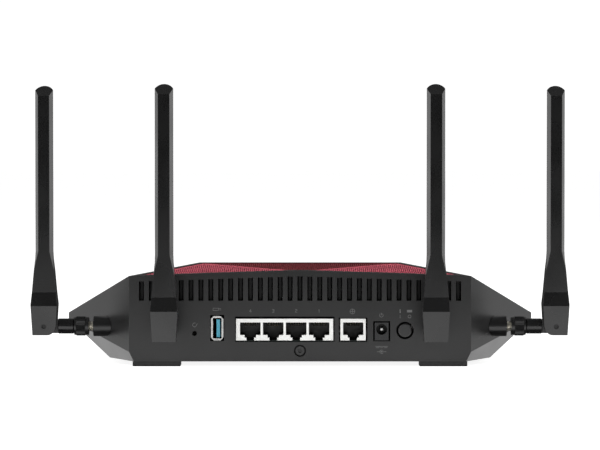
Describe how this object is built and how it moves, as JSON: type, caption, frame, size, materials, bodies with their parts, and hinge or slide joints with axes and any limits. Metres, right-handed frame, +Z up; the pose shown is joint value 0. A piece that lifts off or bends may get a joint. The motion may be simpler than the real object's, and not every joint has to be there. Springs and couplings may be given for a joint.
{
  "type": "wireless router",
  "caption": "Angular desktop wireless router with folding antennas, rear network, USB and power sockets, push buttons and a perforated top grille.",
  "frame": {"origin": "middle of the footprint box at the table surface", "axes": "+X to the right seen from the rear panel, +Y from the rear panel to the front edge, +Z up"},
  "size_m": [0.3346, 0.2426, 0.173],
  "materials": {
    "housing": "fine satin texture",
    "red_mesh": "satin red paint",
    "rubber": "matt rubber",
    "button": "satin",
    "light_pipe": "frosted clear plastic",
    "led": "clear resin",
    "board": "green solder mask",
    "component": "moulded epoxy and nylon",
    "aluminium": "extruded",
    "tinned_steel": "bright tin plate",
    "screw_steel": "zinc plate",
    "port_frame": "light moulded plastic",
    "gold_plate": "gold flash",
    "usb_blue": "blue moulded plastic",
    "cable": "smooth jacket",
    "collar": "satin",
    "antenna": "fine satin texture",
    "antenna_nut": "knurled",
    "copper": "bare copper strip"
  },
  "bodies": {
    "housing": {"rear_panel": "housing", "top_shell": "housing", "bottom_shell": "housing", "front_console": "housing", "rear_grille": "red_mesh", "front_grille_left": "red_mesh", "front_grille_right": "red_mesh", "feet": "rubber", "rear_screw_plug": "button", "led_light_pipes": "light_pipe", "leds": "led", "main_board": "board", "led_board": "board", "board_chips": "component", "console_switches": "component", "power_switch": "component", "reset_switch": "component", "power_jack_body": "component", "heat_sink": "aluminium", "rf_shield_cans": "tinned_steel", "usb_port_shell": "tinned_steel", "power_jack_pin": "tinned_steel", "housing_screws": "screw_steel", "board_screws": "screw_steel", "lan_port_block": "port_frame", "wan_port_block": "port_frame", "port_contacts": "gold_plate", "antenna_jacks": "gold_plate", "antenna_jack_nuts": "gold_plate", "usb_port_tongue": "usb_blue", "antenna_leads": "cable", "antenna_collars": "collar"},
    "power_button": {"power_button": "button"},
    "reset_button": {"reset_button": "button"},
    "wps_button": {"wps_button": "button"},
    "wifi_button": {"wifi_button": "button"},
    "inner_left_nut": {"inner_left_nut": "antenna_nut"},
    "inner_left_barrel": {"inner_left_barrel": "antenna", "inner_left_hinge_pin": "screw_steel"},
    "inner_left_antenna": {"inner_left_fork": "antenna", "inner_left_blade": "antenna", "inner_left_element": "copper"},
    "inner_right_nut": {"inner_right_nut": "antenna_nut"},
    "inner_right_barrel": {"inner_right_barrel": "antenna", "inner_right_hinge_pin": "screw_steel"},
    "inner_right_antenna": {"inner_right_fork": "antenna", "inner_right_blade": "antenna", "inner_right_element": "copper"},
    "outer_left_nut": {"outer_left_nut": "antenna_nut"},
    "outer_left_barrel": {"outer_left_barrel": "antenna", "outer_left_hinge_pin": "screw_steel"},
    "outer_left_antenna": {"outer_left_fork": "antenna", "outer_left_blade": "antenna", "outer_left_element": "copper"},
    "outer_right_nut": {"outer_right_nut": "antenna_nut"},
    "outer_right_barrel": {"outer_right_barrel": "antenna", "outer_right_hinge_pin": "screw_steel"},
    "outer_right_antenna": {"outer_right_fork": "antenna", "outer_right_blade": "antenna", "outer_right_element": "copper"}
  },
  "joints": [
    {"name": "power_press", "type": "slide", "parent": "housing", "child": "power_button", "axis": [0, 1, 0], "range_m": [0, 0.002], "stiffness_N_per_m": 400},
    {"name": "reset_press", "type": "slide", "parent": "housing", "child": "reset_button", "axis": [0, 1, 0], "range_m": [0, 0.0006], "stiffness_N_per_m": 400},
    {"name": "wps_press", "type": "slide", "parent": "housing", "child": "wps_button", "axis": [0, -0.298, -0.9546], "range_m": [0, 0.0005], "stiffness_N_per_m": 400},
    {"name": "wifi_press", "type": "slide", "parent": "housing", "child": "wifi_button", "axis": [0, -0.298, -0.9546], "range_m": [0, 0.0005], "stiffness_N_per_m": 400},
    {"name": "inner_left_nut_turn", "type": "hinge", "parent": "housing", "child": "inner_left_nut", "pos_m": [-0.0818, -0.08995, 0.0234], "axis": [0, 1, 0], "continuous": true},
    {"name": "inner_left_swivel", "type": "hinge", "parent": "housing", "child": "inner_left_barrel", "pos_m": [-0.0818, -0.11305, 0.0234], "axis": [0, 1, 0], "range_deg": [-90, 90]},
    {"name": "inner_left_fold", "type": "hinge", "parent": "inner_left_barrel", "child": "inner_left_antenna", "pos_m": [-0.0818, -0.11305, 0.0234], "axis": [1, 0, 0], "range_deg": [0, 90]},
    {"name": "inner_right_nut_turn", "type": "hinge", "parent": "housing", "child": "inner_right_nut", "pos_m": [0.0818, -0.08995, 0.0234], "axis": [0, 1, 0], "continuous": true},
    {"name": "inner_right_swivel", "type": "hinge", "parent": "housing", "child": "inner_right_barrel", "pos_m": [0.0818, -0.11305, 0.0234], "axis": [0, 1, 0], "range_deg": [-90, 90]},
    {"name": "inner_right_fold", "type": "hinge", "parent": "inner_right_barrel", "child": "inner_right_antenna", "pos_m": [0.0818, -0.11305, 0.0234], "axis": [1, 0, 0], "range_deg": [0, 90]},
    {"name": "outer_left_nut_turn", "type": "hinge", "parent": "housing", "child": "outer_left_nut", "pos_m": [-0.136, -0.05255, 0.0234], "axis": [1, 0, 0], "continuous": true},
    {"name": "outer_left_swivel", "type": "hinge", "parent": "housing", "child": "outer_left_barrel", "pos_m": [-0.1591, -0.05255, 0.0234], "axis": [1, 0, 0], "range_deg": [-90, 90]},
    {"name": "outer_left_fold", "type": "hinge", "parent": "outer_left_barrel", "child": "outer_left_antenna", "pos_m": [-0.1591, -0.05255, 0.0234], "axis": [0, -1, 0], "range_deg": [0, 90]},
    {"name": "outer_right_nut_turn", "type": "hinge", "parent": "housing", "child": "outer_right_nut", "pos_m": [0.136, -0.05255, 0.0234], "axis": [1, 0, 0], "continuous": true},
    {"name": "outer_right_swivel", "type": "hinge", "parent": "housing", "child": "outer_right_barrel", "pos_m": [0.1591, -0.05255, 0.0234], "axis": [1, 0, 0], "range_deg": [-90, 90]},
    {"name": "outer_right_fold", "type": "hinge", "parent": "outer_right_barrel", "child": "outer_right_antenna", "pos_m": [0.1591, -0.05255, 0.0234], "axis": [0, 1, 0], "range_deg": [0, 90]}
  ]
}
